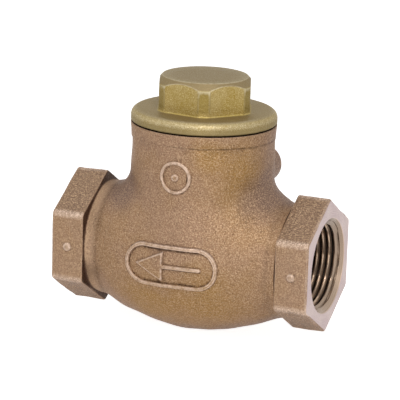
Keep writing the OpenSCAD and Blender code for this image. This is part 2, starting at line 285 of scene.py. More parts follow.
def reach(start, aim, ceiling=True, farthest=80.0, steps=32):
    """Points where rays leave the skin: each step halves the stretch that holds the crossing."""
    start, aim = np.broadcast_arrays(start, aim)
    near = np.zeros(start.shape[:-1])
    far = np.full(start.shape[:-1], farthest)
    for _ in range(steps):
        mid = (near + far) / 2
        p = start + mid[..., None] * aim
        gap = skin_gap(p)
        if ceiling:
            gap = np.maximum(gap, p[..., 2] - (LIP_FOOT + NECK_TOP) / 2)
        inside = gap < 0
        near = np.where(inside, mid, near)
        far = np.where(inside, far, mid)
    return start + near[..., None] * aim


print("skin at the belly's front:", reach(np.zeros(3), np.array([0.0, -1.0, 0.0])).round(2))

# %% [markdown]
# The skin and the end hexagons as one surface
#
# On the real casting the hexagons grow out of the barrels with a small fillet, and their edges are
# rounded by the sand. If they were separate prisms, the joint would be a hard line. So one set of
# rings runs from end to end: over a hexagon's face, round its edge, along its flats, down the inner
# face, through the fillet and on over the belly and the neck. In the middle the rings are cones
# that open from the crossing of the axes, which is how the neck gets its points too.

# %% Casting blank from end to end
SKIN_COLUMNS = 276
CORNER_PINCH = 0.7
FILLET_R = 0.6
INNER_EDGE_R = 0.45
OUTER_EDGE_R = 0.7
EDGE_STEPS = 7
FAN_X = 24.0
CONE_X = 20.0
RINGS_PER_DEGREE = 1.15
BARREL_RINGS = 12
turn = turns(SKIN_COLUMNS, pinch=CORNER_PINCH)


def off_corner(turn):
    """The angle from a turn to the nearest corner of a hexagon that has one at turn 0."""
    return np.abs((turn + np.pi / 6) % (np.pi / 3) - np.pi / 6)


def hexagon_radius(turn, flats, corner_r, inset=0.0):
    """Distance from the axis to a hexagon with a corner at turn 0 and rounded corners: the flat's
    half width over a cosine, or the far side of the corner's circle."""
    flat = flats / 2 - inset
    corner = np.maximum(corner_r - inset, 0.2)
    centre = (flat - corner) / math.cos(math.pi / 6)
    off = off_corner(turn)
    on_flat = flat / np.cos(np.pi / 6 - off)
    on_corner = centre * np.cos(off) + np.sqrt(np.maximum(corner ** 2 - (centre * np.sin(off)) ** 2, 0))
    edge = np.arctan((flat - corner) * math.tan(math.pi / 6) / flat)
    return np.where(np.pi / 6 - off < edge, on_flat, on_corner)


def end_radius(turn, inset=0.0):
    """Distance from the axis to an end hexagon."""
    return hexagon_radius(turn, END_FLATS, END_CORNER_R, inset)


def end_rings(side):
    """Rings of one end, from the middle of its face to the foot of the fillet on the barrel."""
    face_r = end_radius(turn, OUTER_EDGE_R)
    rows = [(HALF_LENGTH, face_r * share) for share in (0.5, 0.8, 0.95)]
    rows += [(HALF_LENGTH - fall, end_radius(turn, inset))
             for fall, inset in quarter(OUTER_EDGE_R, EDGE_STEPS)[::-1]]
    flat_x = np.linspace(HALF_LENGTH - OUTER_EDGE_R, HEX_X + INNER_EDGE_R, 9)[1:]
    rows += [(x, end_radius(turn)) for x in flat_x]
    rows += [(HEX_X + fall, end_radius(turn, inset))
             for fall, inset in quarter(INNER_EDGE_R, EDGE_STEPS)[1:]]
    foot = reach(about_pipe(HEX_X - FILLET_R, 0.0, turn), about_pipe(0.0, 1.0, turn))
    foot_r = np.hypot(foot[:, 1], foot[:, 2])
    wall_r = rows[-1][1]
    rows += [(HEX_X, wall_r * (1 - share) + (foot_r + FILLET_R) * share) for share in (0.33, 0.66)]
    rows += [(HEX_X - fall, foot_r + out) for fall, out in quarter(FILLET_R, EDGE_STEPS)[::-1]]
    rings = spin(about_pipe, rows, turn) * [side, 1, 1]
    rough = waves(rings)[..., None] * about_pipe(0.0, 1.0, turn)
    x = column([row[0] for row in rows])[..., None]
    return rings + rough * ((x > HEX_X + 0.2) & (x < HALF_LENGTH - 0.05))


def skin_rings():
    """Rings between the two fillets. A ring's rays leave the pipe axis at a place and an angle;
    they stand square to the axis near the ends and fan out from the crossing in the middle."""
    straight_x = np.linspace(HEX_X - FILLET_R, FAN_X, BARREL_RINGS)[1:-1]
    fan_slope = np.linspace(0, 1, 10)
    fan_x = FAN_X - (FAN_X - CONE_X) * fan_slope
    lean = np.linspace(45, 135, int(90 * RINGS_PER_DEGREE) + 1)[1:-1]
    middle_slope = 1 / np.tan(np.radians(lean))
    ray_x = np.concatenate([straight_x, fan_x, CONE_X * middle_slope, -fan_x[::-1], -straight_x[::-1]])
    slope = np.concatenate([0 * straight_x, fan_slope, middle_slope, -fan_slope[::-1], 0 * straight_x])
    start = about_pipe(column(ray_x - CONE_X * slope), 0.0, turn)
    aim = about_pipe(column(slope), 1.0, turn)
    aim = aim / np.linalg.norm(aim, axis=-1, keepdims=True)
    return reach(start, aim)


blank_rings = np.concatenate([end_rings(1), skin_rings(), end_rings(-1)[::-1]])
casting = surface("casting", blank_rings)
print("casting blank:", blank_rings.shape[0], "rings of", SKIN_COLUMNS)

# %% [markdown]
# The turned lip and the boss
#
# The neck ends in a lip that a lathe has cleaned up, which swells a little towards its top, and the
# boss at the back carries the plug behind the hinge pin. Both are lathe work, so each is a profile
# spun round its axis: pairs of a distance along the axis and a radius. The profiles start inside
# the neck, so the joint falls on the casting's own surface.

# %% Lip and boss
LATHE_COLUMNS = 144
PIN_X = 10.0
PIN_Z = 22.1
BOSS_R = 5.7
BOSS_END = 24.3


def rounded(end, edge_r, steps=5):
    """Distance along an axis and radius round the outer edge of a cylinder."""
    return [(end[0] - fall, end[1] - inset) for fall, inset in quarter(edge_r, steps)]


def about_hinge(y, radius, turn, x=PIN_X, z=PIN_Z):
    """Points at a distance along Y, a radius and a turn, round the hinge or another axis."""
    return about_neck(y, radius, turn)[..., [0, 2, 1]] + [x, 0, z]


def lathe(name, about, profile, columns=LATHE_COLUMNS, **axis):
    """A profile of distances along an axis and radii, spun round it."""
    return surface(name, spin(about, profile, turns(columns), **axis))


lip = lathe("lip", about_neck, [(32.5, 20.3), (33.6, 20.8), (LIP_FOOT, 21.0), (36.2, 21.12)]
            + rounded((NECK_TOP, LIP_R), 0.2))
boss = lathe("boss", about_hinge, [(11.0, BOSS_R)] + rounded((BOSS_END, BOSS_R), 0.5))
combine(casting, lip, "UNION")
combine(casting, boss, "UNION")

# %% [markdown]
# Raised marks
#
# Foundries cast marks on a valve: here a flow arrow in a frame on the belly, a ring on the neck and
# a pip on each hexagon. They could be text or curves laid on the surface. A height over a small
# grid is simpler on a curved form: each point of the grid goes out to the skin, plus the height of
# the mark there. Away from the mark the grid lies just under the skin, so the union keeps only what
# stands up.

# %% Arrow, ring and pips
MARK_SINK = 0.25
MARK_STEP = 0.22
MARK_FLANK = 0.42
PIP_R = 1.3
FRAME_HALF = 8.0
FRAME_R = 5.75
TIP_X = -9.5
BARB_X = -2.5
RING_R = 4.3


def raised(distance, half_width, height):
    """Height of a rounded ridge, from the distance to its middle line: full within the half
    width, and a smooth flank down to the sunk level."""
    share = np.clip((half_width + MARK_FLANK - distance) / MARK_FLANK, 0, 1)
    return -MARK_SINK + (height + MARK_SINK) * share * share * (3 - 2 * share)


def stroke(u, v, start, end):
    """Distance from each point to a straight stroke."""
    start, end = np.array(start), np.array(end)
    span = end - start
    along = ((u - start[0]) * span[0] + (v - start[1]) * span[1]) / (span @ span)
    along = np.clip(along, 0, 1)
    return np.hypot(u - start[0] - along * span[0], v - start[1] - along * span[1])


def front_mark(name, centre, half_size, height):
    """A closed slab whose front is the skin plus a height over across and up, facing -Y."""
    u = np.arange(-half_size[0], half_size[0] + MARK_STEP / 2, MARK_STEP)
    v = np.arange(-half_size[1], half_size[1] + MARK_STEP / 2, MARK_STEP)
    across, rise = np.meshgrid(u, v)
    foot = np.stack([across + centre[0], 0 * across, rise + centre[1]], axis=-1)
    front = reach(foot, np.array([0.0, -1.0, 0.0]), ceiling=False)
    front[..., 1] -= height(across, rise)
    behind = front + [0, 1.0, 0]
    rows, cols = across.shape
    points = np.concatenate([front.reshape(-1, 3), behind.reshape(-1, 3)])
    row, col = np.meshgrid(np.arange(rows - 1), np.arange(cols - 1), indexing="ij")
    here = (row * cols + col).reshape(-1)
    sheet = np.stack([here, here + 1, here + cols + 1, here + cols], axis=-1)
    along, away = np.arange(cols - 1), np.arange(rows - 1)
    edge = np.concatenate([along, (away + 1) * cols - 1,
                           rows * cols - 1 - along, (rows - 1 - away) * cols])
    following = np.roll(edge, -1)
    count = rows * cols
    walls = np.stack([following, edge, edge + count, following + count], axis=-1)
    faces = sheet.tolist() + (sheet[:, ::-1] + count).tolist() + walls.tolist()
    return closed_piece(name, points, faces)


def arrow_height(u, v):
    """An arrow that points along -X inside a frame with round ends. Its head is a triangle whose
    sides go one across for two along."""
    frame_line = np.abs(np.hypot(np.maximum(np.abs(u) - FRAME_HALF, 0), v) - FRAME_R)
    shaft = stroke(u, v, (-6.0, 0.0), (9.0, 0.0))
    head = np.maximum(0.894 * np.abs(v) - 0.447 * (u - TIP_X), u - BARB_X)
    return np.maximum(raised(frame_line, 0.4, 0.75), raised(np.minimum(shaft, head), 0.4, 0.8))


def ring_height(u, v):
    """A round ring with a dot in its middle."""
    off = np.hypot(u, v)
    return np.maximum(raised(np.abs(off - RING_R), 0.3, 0.5), raised(off, 0.9, 0.5))


combine(casting, front_mark("arrow", (0.0, 0.0), (15.6, 7.6), arrow_height), "UNION")
combine(casting, front_mark("ring", (0.0, 25.8), (5.6, 5.6), ring_height), "UNION")
for side in (-1, 1):
    flat_y = -END_FLATS / 2
    pip = [(flat_y + 0.6, PIP_R), (flat_y + 0.1, PIP_R), (flat_y - 0.15, 0.93 * PIP_R),
           (flat_y - 0.35, 0.72 * PIP_R), (flat_y - 0.45, 0.4 * PIP_R)]
    pip_x = side * (HALF_LENGTH - END_LENGTH / 2)
    combine(casting, lathe("pip", about_hinge, pip, 32, x=pip_x, z=0.0), "UNION")

# %% [markdown]
# The space inside
#
# The passages are what the valve is for, and both mouths show them. The swing space under the cap
# and the belly are the cores of the casting, the seat and the passages are bored, and the mouths
# are tapped. A tap's own shape is the best cutter for a thread: its radius rises and falls with the
# distance along the axis less the share of a turn, which makes a true helix, and it narrows inwards
# as a taper thread does.

# %% Cores, seat, passages and threads
BELLY_WALL = 3.2
NECK_BORE_R = 17.5
CHAMBER_X = 22.0
SEAT_X = 10.8
SEAT_H = 0.8
SEAT_R = 12.3
PORT_R = 10.0
THROAT_X = 17.6
OUTLET_R = 11.8
THREAD_X = 26.0
POCKET_Z = 15.5
THREAD_PITCH = 1.814
THREAD_CREST_R = 12.06
THREAD_HEIGHT = 1.16
THREAD_TAPER = 1 / 32
MOUTH_BEVEL_R = 14.1
MOUTH_BEVEL_SLOPE = 1.2
WALL_X = SEAT_X + SEAT_H

core_x = np.linspace(-CHAMBER_X, WALL_X, 40)
core_r = np.sqrt((BELLY_ARC_R - BELLY_WALL) ** 2 - core_x ** 2) - BELLY_ARC_R + BELLY_R
belly_core = lathe("belly_core", about_pipe, list(zip(core_x, core_r)))

neck_turn = turns(LATHE_COLUMNS)
half_moon = np.minimum(NECK_BORE_R, WALL_X / np.maximum(np.cos(neck_turn), 0.01))
swing = [(z, half_moon) for z in (0.0, 5.0, 10.0, POCKET_Z)]
swing += [(z, NECK_BORE_R) for z in (POCKET_Z, NECK_TOP + 1)]
combine(casting, surface("swing_core", spin(about_neck, swing, neck_turn)), "DIFFERENCE")
combine(casting, belly_core, "DIFFERENCE")

seat = lathe("seat", about_pipe,
             [(SEAT_X, SEAT_R - 0.2), (SEAT_X + 0.2, SEAT_R), (WALL_X + 1, SEAT_R)])
combine(casting, seat, "UNION")


def bore(name, side, passage):
    """Cutter for one mouth: a bevel, the threads and then the plain passage behind them. The
    thread's profile is a triangle wave with blunt tips, over depth by pitch less the turn."""
    bore_turn = turns(128)
    depth = column(np.linspace(0, HALF_LENGTH - THREAD_X, 86))
    phase = (depth / THREAD_PITCH - side * bore_turn / (2 * np.pi)) % 1
    ridge = np.clip((1 - np.abs(2 * phase - 1)) * 1.3 - 0.15, 0, 1)
    thread = THREAD_CREST_R - depth * THREAD_TAPER + THREAD_HEIGHT * ridge
    thread = np.maximum(thread, MOUTH_BEVEL_R - MOUTH_BEVEL_SLOPE * depth)
    rows = [(HALF_LENGTH + 1, thread[0]), *zip(HALF_LENGTH - depth[:, 0], thread), *passage]
    return surface(name, spin(about_pipe, rows, bore_turn) * [side, 1, 1])


inlet = bore("inlet", 1, [(THREAD_X, OUTLET_R), (THROAT_X, PORT_R), (SEAT_X - 1, PORT_R)])
outlet = bore("outlet", -1, [(THREAD_X, OUTLET_R), (CHAMBER_X - 1, OUTLET_R)])
combine(casting, inlet, "DIFFERENCE")
combine(casting, outlet, "DIFFERENCE")

# %% [markdown]
# The hinge lugs and the pin's hole
#
# Two lugs inside the neck carry the pin, and the hole for it is drilled from the back through the
# boss, then widened for the plug. The lugs are short cylinders whose far end follows the curve of
# the neck, so they reach into its wall and never through it.

# %% Lugs and drilled hole
LUG_R = 4.2
LUG_GAP = 16.0
LUG_ROOT = 1.0
PIN_HOLE_R = 2.03
PLUG_HOLE_R = 4.03
PLUG_Y = 18.3
PIN_FRONT_Y = -15.96

lug_turn = turns(64)
lug_x = PIN_X + LUG_R * np.cos(lug_turn)
lug_z = PIN_Z + LUG_R * np.sin(lug_turn)
lug_end = np.sqrt((NECK_BORE_R + LUG_ROOT) ** 2 - lug_x ** 2)
for side in (-1, 1):
    lug_y = np.stack([np.full(64, LUG_GAP / 2), lug_end])
    lug = np.stack([lug_x + 0 * lug_y, side * lug_y, lug_z + 0 * lug_y], axis=-1)
    combine(casting, surface("lug", lug), "UNION")
drill = lathe("drill", about_hinge, [(PIN_FRONT_Y, PIN_HOLE_R), (PLUG_Y, PIN_HOLE_R),
                                     (PLUG_Y, PLUG_HOLE_R), (BOSS_END + 1, PLUG_HOLE_R)], 64)
combine(casting, drill, "DIFFERENCE")
print("casting holds", round(volume(casting.data) * 1e6, 2), "cubic centimetres of bronze")

# %% [markdown]
# The cap
#
# The cap is turned and milled from brass: a hollow plug that screws into the neck, a flange with a
# round edge, and a hexagon for the spanner whose top is turned to a bevel. A hexagon cut by a cone
# gives the arcs over each flat, so the radius is the lesser of the hexagon's and the cone's, very
# slightly rounded. All of it is one set of rings, from inside the hollow, round the plug and over
# the flange to the top.

# %% Cap in one surface
GASKET = 0.4
FLANGE_Z = NECK_TOP + GASKET
FLANGE_H = 3.7
FLANGE_R = 21.3
FLANGE_EDGE_R = 2.2
HEAD_Z = FLANGE_Z + FLANGE_H
HEAD_H = 9.7
HEAD_FLATS = 26.4
HEAD_CORNER_R = 0.5
HEAD_TURNED_R = 14.4
HEAD_TOP_R = 12.5
HEAD_BEVEL_H = 2.0
HEAD_FILLET = 0.5
CAP_TURN = math.radians(21 - 90)
CAP_COLUMNS = 288
FIT_GAP = 0.03
PLUG_R = NECK_BORE_R - FIT_GAP
CAP_WALL = 3.5
PLUG_BOTTOM = FLANGE_Z - 8.6

cap_turn = turns(CAP_COLUMNS, pinch=CORNER_PINCH)
head_r = hexagon_radius(cap_turn, HEAD_FLATS, HEAD_CORNER_R)
top_z = HEAD_Z + HEAD_H


def bevelled(z):
    """Radius of the hexagon where a cone has turned its top: the lesser of the two, rounded."""
    heights = [HEAD_Z, top_z - HEAD_BEVEL_H, top_z]
    cone = np.interp(z, heights, [HEAD_TURNED_R, HEAD_TURNED_R, HEAD_TOP_R])
    return blend(head_r, cone, 0.15)


side_z = np.linspace(HEAD_Z + HEAD_FILLET, top_z - HEAD_BEVEL_H, 7)[1:]
bevel_z = np.linspace(top_z - HEAD_BEVEL_H, top_z, 14)[1:]
inner_r = PLUG_R - CAP_WALL
hollow_r = HEAD_FLATS / 2 - CAP_WALL
cap_rows = [(top_z - CAP_WALL, hollow_r), (HEAD_Z, hollow_r), (FLANGE_Z, inner_r),
            (PLUG_BOTTOM, inner_r), (PLUG_BOTTOM, PLUG_R - 0.4), (PLUG_BOTTOM + 0.4, PLUG_R),
            (FLANGE_Z, PLUG_R), (FLANGE_Z, FLANGE_R - 0.3), (FLANGE_Z + 0.3, FLANGE_R)]
cap_rows += rounded((HEAD_Z, FLANGE_R), FLANGE_EDGE_R, 8)
cap_rows += [(HEAD_Z + rise, bevelled(HEAD_Z) + out) for out, rise in quarter(HEAD_FILLET)]
cap_rows += [(z, bevelled(z)) for z in np.concatenate([side_z, bevel_z])]
cap_rows += [(top_z + 0.08, bevelled(top_z) - 0.3), (top_z + 0.08, 0.5 * HEAD_TOP_R)]
cap = surface("screwed_cap", spin(about_neck, cap_rows, cap_turn + CAP_TURN))
print("cap:", len(cap_rows), "rings, top at", top_z)

# %% [markdown]
# Smooth faces and worn edges
#
# Edges of a casting are painted bright, partly as wear and partly as a painted highlight, and the
# casting's corners are painted dark as painted shade. A shader can guess that, but the mesh itself
# knows it better: at each point the neighbours lie below the surface on an edge and above it in a
# corner. Averaging that over the neighbours gives one number per point, kept as an attribute that
# the materials read. Faces are shaded smooth, apart from angles over 38 degrees.

# %% Edge and corner attributes
SHARP_ANGLE = math.radians(38)
BEND_GAIN = 3.0


def ramp(value, low, high):
    """How far a value is on its way from low to high, within 0 and 1."""
    return np.clip((value - low) / (high - low), 0, 1)


def bell(distance, width):
    """One at no distance, less further off: the exponential of minus the square of the distance
    over the width."""
    return np.exp(-(distance / width) ** 2)


def keep(piece, **masks):
    """Keeps one number per vertex for each mask, under a name that materials can read."""
    for name, values in masks.items():
        kept = piece.data.attributes.new(name, "FLOAT", "POINT")
        kept.data.foreach_set("value", values.astype(np.float32))


def bend_attributes(piece, passes):
    """Keeps 'edge' and 'corner', the outward and inward bend at each vertex: the height of the
    vertex over its neighbours by the squared distance, averaged, in millimetres."""
    mesh = piece.data
    mesh.polygons.foreach_set("use_smooth", np.ones(len(mesh.polygons), dtype=bool))
    mesh.set_sharp_from_angle(angle=SHARP_ANGLE)
    place, facing = rows_of(mesh.vertices, "co") / MM, rows_of(mesh.vertex_normals, "vector")
    a, b = rows_of(mesh.edges, "vertices", 2, np.int32).T
    span = place[a] - place[b]
    near = np.maximum((span ** 2).sum(axis=1), 0.09)

    def summed(at_a, at_b):
        """The sum at each vertex over its edges, of a value for either end."""
        return np.bincount(a, at_a, len(place)) + np.bincount(b, at_b, len(place))

    count = np.maximum(summed(None, None), 1)
    bend = summed((span * facing[a]).sum(axis=1) / near, -(span * facing[b]).sum(axis=1) / near) / count
    for _ in range(passes):
        bend = 0.5 * bend + 0.5 * summed(bend[b], bend[a]) / count
    keep(piece, edge=np.clip(bend * BEND_GAIN, 0, 1), corner=np.clip(-bend * BEND_GAIN, 0, 1))
    print(piece.name, "has", len(mesh.vertices), "points and", len(mesh.polygons), "faces")
    return place, facing


casting_place, casting_facing = bend_attributes(casting, 3)
cap_place, cap_facing = bend_attributes(cap, 1)

# %% [markdown]
# Threads, mouths and faces: where the tools went
#
# The roots of a thread and the inside of a mouth are painted darker as painted shade, and only the
# end faces are bare to the air. These could be painted by hand. But each follows from where a point
# is, so a formula over the points gives it: "root" is how deep a point lies in a thread, "depth"
# how far it is into a mouth, and "bored" is one behind the end face. The bevel and the first crest
# are painted darker as well, as painted shade, a little more so in their upper half as a painted
# dark reflection, so "root" has a least value there.

# %% Masks of the machined places
crossing_place = casting_place - CROSSING
off_pipe = np.hypot(crossing_place[:, 1], crossing_place[:, 2])
from_middle = np.abs(crossing_place[:, 0])
end_depth = HALF_LENGTH - from_middle
crest_here = THREAD_CREST_R - end_depth * THREAD_TAPER
in_thread = (end_depth > -0.01) & (end_depth < HALF_LENGTH - THREAD_X + 0.2)
past_bevel = off_pipe > MOUTH_BEVEL_R - MOUTH_BEVEL_SLOPE * end_depth + 0.05
root = (off_pipe - crest_here) / THREAD_HEIGHT
root = np.where(in_thread & past_bevel & (root < 1.05), np.clip(root, 0, 1), 0.0)
root *= np.maximum(ramp(end_depth, 0.6, 2.6), 0.45)
print("points in the threads:", int((root > 0).sum()))
in_mouth = off_pipe < MOUTH_BEVEL_R
# Painted shade on the bevel and the first crest of each mouth, darker in the upper half as a painted
# dark reflection.
grime = 0.70 + 0.03 * np.clip(crossing_place[:, 2] / 10, -1, 1)
grime *= ramp(end_depth, 4.2, 3.0) * (in_mouth & in_thread & (end_depth > 0.1))
# The root and depth masks darken the thread roots and the inside of each mouth as painted shade.
keep(casting, root=np.maximum(grime, root), depth=ramp(end_depth, 0, 20) * in_mouth,
     bored=ramp(end_depth, 0.02, 0.12))

# %% [markdown]
# Skin of the casting: golden places, painted shade and painted light
#
# The skin isn't one colour. It is painted grey and darker as painted shade on the shoulders and
# wherever it faces sideways or down, and golden in a few round spots ("warm"). Each spot has a twin
# on the valve's other side, and so does the grey spot of painted shade on the saddle. Painted shade
# darkens the corner where a hexagon meets the casting, next to a strip at the outlet that is painted
# paler as painted light. The corners of the hexagons are painted lighter ("ridge"), partly as wear
# and partly as a painted highlight, and their sand was rougher ("coarse"), least on the two upright
# flats.

# %% Masks of the cast skin
BAND_X = 26.0
WARM_SPOTS = [(17.0, -12.0, 25.0, 9.0), (13.0, -17.0, -11.0, 11.0), (-8.0, -20.0, -13.0, 9.0),
              (8.5, -19.0, 33.0, 4.5)]
# The grey spot is painted shade on the saddle where the neck meets the belly.
GREY_SPOTS = [(-19.0, -9.0, 18.0, 6.5)]


def spots(places):
    """Round spots that fade outwards, each with a place and a size, and each once more half a turn
    round the neck."""
    total = np.zeros(len(crossing_place))
    for x, y, z, size in places:
        for side in (1, -1):
            total += bell(np.linalg.norm(crossing_place - [side * x, side * y, z], axis=1), size)
    return total


pipe_gap = np.hypot(crossing_place[:, 0], off_pipe + BELLY_ARC_R - BELLY_R) - BELLY_ARC_R
neck_gap = np.hypot(crossing_place[:, 0], crossing_place[:, 1]) - NECK_R
in_saddle = ramp(np.abs(pipe_gap - neck_gap), 7.8, 1.8) * (crossing_place[:, 2] > 4)
sideways = 1 - np.abs(casting_facing[:, 1])
below = np.clip(-casting_facing[:, 2], 0, 1)
pipe_turn = np.arctan2(crossing_place[:, 1], crossing_place[:, 2])
under_flat = off_pipe < end_radius(pipe_turn) - 0.2
by_outlet = crossing_place[:, 0] < 0
# Painted light: the strip of barrel by the outlet's hexagon is painted paler, where it faces the front
# and the belly beside it turns away.
on_band = by_outlet & (from_middle < HEX_X - 0.4) & (off_pipe > BARREL_R - 1)
# Painted shade: a dark line where each hexagon meets the barrel, with fainter ones where the barrel
# starts and where the strip at the outlet starts.
at_hexagon = ramp(from_middle, HEX_X - 0.55, HEX_X - 0.25) * (from_middle < HEX_X + 0.5)
barrel_start = math.sqrt(BELLY_ARC_R ** 2 - (BARREL_R + BELLY_ARC_R - BELLY_R) ** 2)
at_barrel = 0.2 * bell(from_middle - barrel_start, 0.8) * (np.abs(off_pipe - BARREL_R) < 1)
at_band = 0.3 * bell(from_middle - BAND_X, 0.9) * by_outlet
# The corners of the hexagons are painted lighter, partly as wear and partly as a painted highlight.
from_corner = off_corner(pipe_turn) * off_pipe
on_hexagon = ramp(from_middle, HEX_X, HEX_X + 0.5) * ~under_flat
upright = np.abs(casting_facing[:, 1]) > 0.9
# Painted shade: the first mask greys and darkens the skin where it faces sideways or down, in the
# saddles by the neck and in the grey spots.
keep(casting, patina=sideways * (0.7 + 1.1 * in_saddle + 0.5 * below) + 0.7 * spots(GREY_SPOTS),
     warm=np.clip(spots(WARM_SPOTS), 0, 1), band=ramp(from_middle, BAND_X, BAND_X + 1.2) * on_band,
     crease=np.maximum(at_hexagon, np.maximum(at_barrel, at_band)) * under_flat,
     ridge=ramp(from_corner, 1.44, 0.54) * on_hexagon, coarse=on_hexagon * np.where(upright, 0.35, 1))
print("masks on the casting:", len(casting.data.attributes))

# %% [markdown]
# Tarnish, painted shade and a painted highlight on the cap
#
# Brass that was turned smooth darkens more evenly than the milled flats do. So one mask takes in
# the top and its bevel and the level faces, again from the place and the facing of each point; as
# it takes the faces that look up, it is partly tarnish and partly painted shade. The turned corners
# of the hexagon are darker too but stay golden, as spanners rub them, so they have a mask of their
# own, "turned". The round edge of the flange has a pale painted highlight, and below it the flange
# is painted dark as painted shade ("low").

# %% Masks of tarnish, painted shade and a painted highlight
cap_off = np.hypot(cap_place[:, 0] - CROSSING[0], cap_place[:, 1])
cap_height = cap_place[:, 2]
bevel_foot = top_z - HEAD_BEVEL_H
on_head = ramp(cap_height, bevel_foot + 0.1, bevel_foot + 0.3) * (cap_facing[:, 2] > 0.3)
# Partly tarnish, partly painted shade: the faces that look up are darkened.
tarnish = np.maximum(on_head, 0.8 * (cap_facing[:, 2] > 0.9))
keep(cap, tarnish=tarnish,
     turned=(np.abs(cap_off - HEAD_TURNED_R + 0.01) < 0.11) & (cap_height > HEAD_Z + 0.6),
     # Painted shade: the lower side of the flange's edge is darkened.
     low=ramp(cap_height, FLANGE_Z + 2.8, FLANGE_Z + 1.4) * (cap_off > FLANGE_R - 1),
     # Painted highlight: a pale streak along the round edge of the flange.
     rim=bell(cap_height - HEAD_Z + 1.2, 0.8) * (cap_off > FLANGE_R - FLANGE_EDGE_R))
print("tarnished share of the cap's points:", round(float((tarnish > 0.5).mean()), 2))

# %% [markdown]
# Cast faces and machined faces
#
# Two finishes meet on one mesh. A mask could mix them in the shader, but the line between a cut
# face and the skin is sharp on the real valve, so whole faces are given to one material or the
# other: the end faces, the threads and the bored inlet passage are machined.

# %% Pick the machined faces
faces = casting.data.polygons
face_place = rows_of(faces, "center") / MM - CROSSING
face_facing = rows_of(faces, "normal")
face_off = np.hypot(face_place[:, 1], face_place[:, 2])
end_face = (np.abs(face_place[:, 0]) > HALF_LENGTH - 0.08) & (np.abs(face_facing[:, 0]) > 0.95)
threaded = (np.abs(face_place[:, 0]) > THREAD_X - 0.1) & (face_off < MOUTH_BEVEL_R)
passage = (face_place[:, 0] > SEAT_X - 0.01) & (face_off < SEAT_R + 0.1)
machined = end_face | threaded | passage
print("machined faces:", int(machined.sum()))

# %% [markdown]
# Wiring materials from code
#
# Shader nodes are easy to join by hand, but a script needs a short way to say the same. One helper
# adds a node, and others give the steps that come back in every material, such as a thin coat of
# colour over another. Effects that several materials share are node groups, made once and placed
# with their own values.

# %% Helpers for nodes
def fill(tree, made, **inputs):
    """Fills a node's sockets with values or with other nodes' outputs. They are named, with an
    underscore for a space, or numbered as i0, i1."""
    for key, value in inputs.items():
        number = key[1:] if key[0] == "i" and key[1:].isdigit() else None
        socket = made.inputs[int(number)] if number else made.inputs[key.replace("_", " ")]
        if isinstance(value, bpy.types.NodeSocket):
            tree.links.new(value, socket)
        else:
            socket.default_value = value
    return made


def add(tree, kind, options=None, **inputs):
    """Adds a node, sets its options and fills its sockets."""
    made = tree.nodes.new("ShaderNode" + kind)
    for key, value in (options or {}).items():
        setattr(made, key, value)
    return fill(tree, made, **inputs)


def maths(tree, operation, a, b=0.0, c=0.0, clamp=False):
    """The result of one arithmetic step."""
    return add(tree, "Math", {"operation": operation, "use_clamp": clamp}, i0=a, i1=b, i2=c).outputs[0]


def times(tree, a, b):
    """The product of two values."""
    return maths(tree, "MULTIPLY", a, b)


def mix(tree, share, a, b):
    """The colour between two colours."""
    return add(tree, "Mix", {"data_type": "RGBA"}, i0=share, i6=a, i7=b).outputs[2]


def span(tree, value, low, high, out_low=0.0, out_high=1.0):
    """A value moved from one range to another, smoothly and within it."""
    return add(tree, "MapRange", {"interpolation_type": "SMOOTHSTEP"}, Value=value, From_Min=low,
               From_Max=high, To_Min=out_low, To_Max=out_high).outputs[0]


def blend_values(tree, share, a, b):
    """The value between two values."""
    return add(tree, "Mix", {"data_type": "FLOAT"}, i0=share, i2=a, i3=b).outputs[0]


def tint(red, green, blue):
    """A colour as it looks on screen, from 0 to 255, as the linear values that nodes use."""
    share = np.array([red, green, blue]) / 255
    linear = np.where(share <= 0.04045, share / 12.92, ((share + 0.055) / 1.055) ** 2.4)
    return (*linear.tolist(), 1.0)


def attribute(tree, name):
    """The value of one of the mesh's attributes."""
    return add(tree, "Attribute", {"attribute_name": name}).outputs["Fac"]


def coat(tree, below, mask, amount, colour):
    """A thin coat of a colour over another, up to an amount, where a mask or the attribute of
    that name says."""
    if isinstance(mask, str):
        mask = attribute(tree, mask)
    return mix(tree, times(tree, mask, amount), below, tint(*colour))


def own_place(tree):
    """The place of a point in the piece's own coordinates."""
    return add(tree, "TexCoord").outputs["Object"]


def own_xyz(tree):
    """The same place, as its "X", "Y" and "Z"."""
    return add(tree, "SeparateXYZ", Vector=own_place(tree)).outputs


def noise_at(tree, size_mm, detail, roughness=0.5):
    """Noise whose features are about a size in millimetres."""
    return add(tree, "TexNoise", Vector=own_place(tree), Scale=maths(tree, "DIVIDE", 1 / MM, size_mm),
               Detail=detail, Roughness=roughness).outputs["Fac"]


def bumped(tree, height, distance, strength=1.0):
    """The normals of a relief with a height and a greatest depth in metres."""
    return add(tree, "Bump", Strength=strength, Distance=distance, Height=height).outputs["Normal"]


def new_group(name, inputs, outputs):
    """An empty node group with float inputs and outputs, what comes in and the node at its end."""
    group = bpy.data.node_groups.new(name, "ShaderNodeTree")
    for label, value in inputs.items():
        socket = group.interface.new_socket(name=label, in_out="INPUT", socket_type="NodeSocketFloat")
        socket.default_value = value
    for label in outputs:
        group.interface.new_socket(name=label, in_out="OUTPUT", socket_type="NodeSocketFloat")
    return group, group.nodes.new("NodeGroupInput").outputs, group.nodes.new("NodeGroupOutput")


def place_group(tree, group, **inputs):
    """The outputs of a group that is placed in a material with its own values."""
    return add(tree, "Group", {"node_tree": group}, **inputs).outputs


def new_material(name):
    """A material with its tree and its shader."""
    material = bpy.data.materials.new(name)
    material.use_nodes = True
    return material, material.node_tree, material.node_tree.nodes["Principled BSDF"]

# %% [markdown]
# Sand grain
#
# Molten bronze takes the print of the sand: grains under half a millimetre, a few coarser lumps,
# and here and there a pit. Blotches of warmer and greyer skin lie over it. Displacing the mesh
# would need millions of points, so the grain is a bump, and the same noise also shifts the colour a
# little, as the tops of the grains are rubbed bright. Noise reads Object coordinates in metres, so
# its scale is one over the size of a grain.

# %% Group for the grain of the sand
PITS_APART = 3.2

